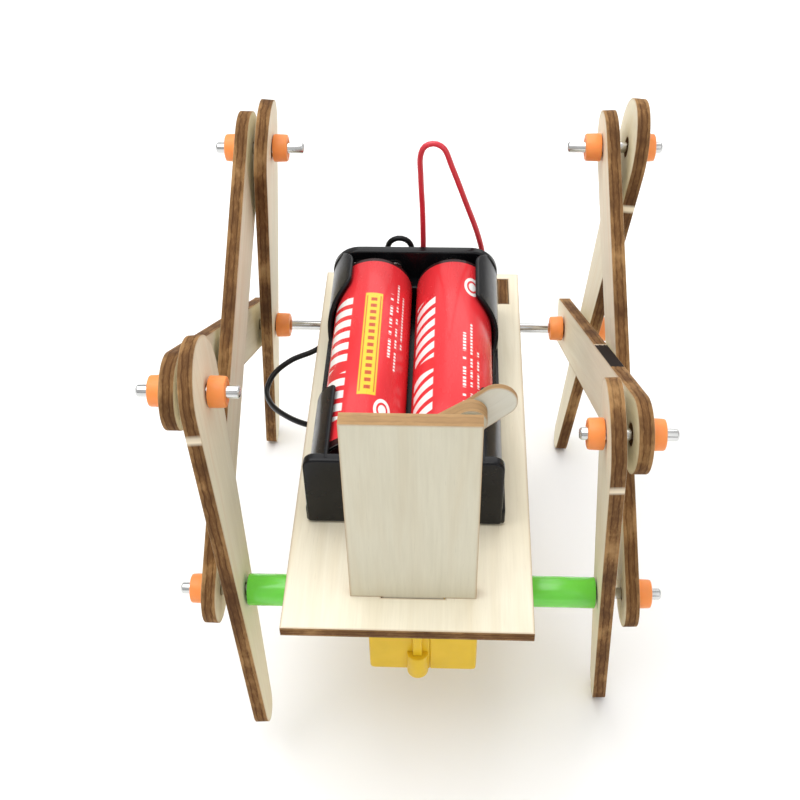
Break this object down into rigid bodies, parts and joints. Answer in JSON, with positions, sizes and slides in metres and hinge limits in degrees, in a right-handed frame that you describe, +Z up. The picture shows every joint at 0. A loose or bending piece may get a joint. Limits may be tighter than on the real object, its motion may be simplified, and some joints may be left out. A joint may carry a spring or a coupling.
{
  "type": "walking robot chassis",
  "caption": "Four-legged plywood walking robot chassis: gear motor, crank-driven leg linkages, battery holder on a flat base plate and an upright front panel.",
  "frame": {"origin": "on the ground under the middle of the robot's bounding box, leads not counted", "axes": "+X to the robot's side with the right leg pair, +Y from the panel end to the battery end, +Z up"},
  "size_m": [0.0874, 0.0942, 0.0895],
  "materials": {
    "plywood": "laser-cut birch plywood, pale faces, browned edges",
    "birch": "thin pale wood strip",
    "orange_plastic": "semi-matte soft plastic bush",
    "green_plastic": "glossy plastic tube",
    "yellow_plastic": "moulded yellow plastic",
    "black_plastic": "glossy black moulded plastic",
    "white_plastic": "white moulded plastic",
    "strap": "clear strap",
    "cell": "red printed foil sleeve",
    "steel": "bright steel",
    "brass": "tinned brass",
    "red_pvc": "red wire insulation",
    "black_pvc": "black wire insulation"
  },
  "bodies": {
    "chassis": {"base_plate": "plywood", "front_panel": "plywood", "panel_batten": "plywood", "panel_paddle": "birch", "axle_bracket_left": "plywood", "axle_bracket_right": "plywood", "battery_holder": "black_plastic", "cell_left": "cell", "cell_right": "cell", "contact_left": "steel", "contact_right": "steel", "spring_left": "steel", "spring_right": "steel", "gearbox_left": "yellow_plastic", "gearbox_right": "yellow_plastic", "motor_can": "steel", "motor_end_cap": "white_plastic", "motor_strap": "strap", "terminal_left": "brass", "terminal_right": "brass", "rear_axle": "steel", "axle_bush_in_left": "orange_plastic", "axle_bush_out_left": "orange_plastic", "axle_bush_in_right": "orange_plastic", "axle_bush_out_right": "orange_plastic", "red_lead": "red_pvc", "black_lead": "black_pvc"},
    "crank": {"output_shaft": "white_plastic", "output_gear": "white_plastic", "crank_disc_left": "plywood", "crank_disc_right": "plywood", "crank_pin_left": "steel", "crank_pin_right": "steel", "green_tube_left": "green_plastic", "green_tube_right": "green_plastic", "pin_bush_left": "orange_plastic", "pin_bush_right": "orange_plastic"},
    "front_leg_left": {"front_leg_left": "plywood", "front_rod_left": "steel", "front_bush_in_left": "orange_plastic", "front_bush_out_left": "orange_plastic"},
    "bar_left": {"bar_left": "plywood", "top_rod_left": "steel", "top_bush_in_left": "orange_plastic", "top_bush_out_left": "orange_plastic"},
    "link_left": {"link_left": "plywood"},
    "rear_leg_left": {"rear_leg_left": "plywood"},
    "front_leg_right": {"front_leg_right": "plywood", "front_rod_right": "steel", "front_bush_in_right": "orange_plastic", "front_bush_out_right": "orange_plastic"},
    "bar_right": {"bar_right": "plywood", "top_rod_right": "steel", "top_bush_in_right": "orange_plastic", "top_bush_out_right": "orange_plastic"},
    "link_right": {"link_right": "plywood"},
    "rear_leg_right": {"rear_leg_right": "plywood"}
  },
  "joints": [
    {"name": "crank_turn", "type": "hinge", "parent": "chassis", "child": "crank", "pos_m": [0.00135, -0.02953, 0.03262], "axis": [1, 0, 0], "range_deg": [-30, 30]},
    {"name": "front_leg_pin_left", "type": "hinge", "parent": "crank", "child": "front_leg_left", "pos_m": [-0.0303, -0.03232, 0.03576], "axis": [1, 0, 0], "range_deg": [-34, 34]},
    {"name": "bar_pin_left", "type": "hinge", "parent": "crank", "child": "bar_left", "pos_m": [-0.0346, -0.03232, 0.03576], "axis": [1, 0, 0], "range_deg": [-34, 34]},
    {"name": "link_axle_left", "type": "hinge", "parent": "chassis", "child": "link_left", "pos_m": [-0.03665, 0.03717, 0.03592], "axis": [1, 0, 0], "range_deg": [-3, 3]},
    {"name": "rear_leg_axle_left", "type": "hinge", "parent": "chassis", "child": "rear_leg_left", "pos_m": [-0.03325, 0.03717, 0.03592], "axis": [1, 0, 0], "range_deg": [-5, 5]},
    {"name": "front_leg_pin_right", "type": "hinge", "parent": "crank", "child": "front_leg_right", "pos_m": [0.033, -0.02674, 0.02948], "axis": [1, 0, 0], "range_deg": [-34, 34]},
    {"name": "bar_pin_right", "type": "hinge", "parent": "crank", "child": "bar_right", "pos_m": [0.0373, -0.02674, 0.02948], "axis": [1, 0, 0], "range_deg": [-34, 34]},
    {"name": "link_axle_right", "type": "hinge", "parent": "chassis", "child": "link_right", "pos_m": [0.03035, 0.03717, 0.03592], "axis": [1, 0, 0], "range_deg": [-3, 3]},
    {"name": "rear_leg_axle_right", "type": "hinge", "parent": "chassis", "child": "rear_leg_right", "pos_m": [0.03425, 0.03717, 0.03592], "axis": [1, 0, 0], "range_deg": [-5, 5]}
  ],
  "couplings": [
    {"joint": "front_leg_pin_left", "follows": "crank_turn", "ratio": -1.0303},
    {"joint": "bar_pin_left", "follows": "crank_turn", "ratio": -0.9624},
    {"joint": "link_axle_left", "follows": "crank_turn", "ratio": 0.0495},
    {"joint": "rear_leg_axle_left", "follows": "crank_turn", "ratio": 0.1061},
    {"joint": "front_leg_pin_right", "follows": "crank_turn", "ratio": -0.9598},
    {"joint": "bar_pin_right", "follows": "crank_turn", "ratio": -1.0405},
    {"joint": "link_axle_right", "follows": "crank_turn", "ratio": -0.0427},
    {"joint": "rear_leg_axle_right", "follows": "crank_turn", "ratio": -0.1124}
  ]
}
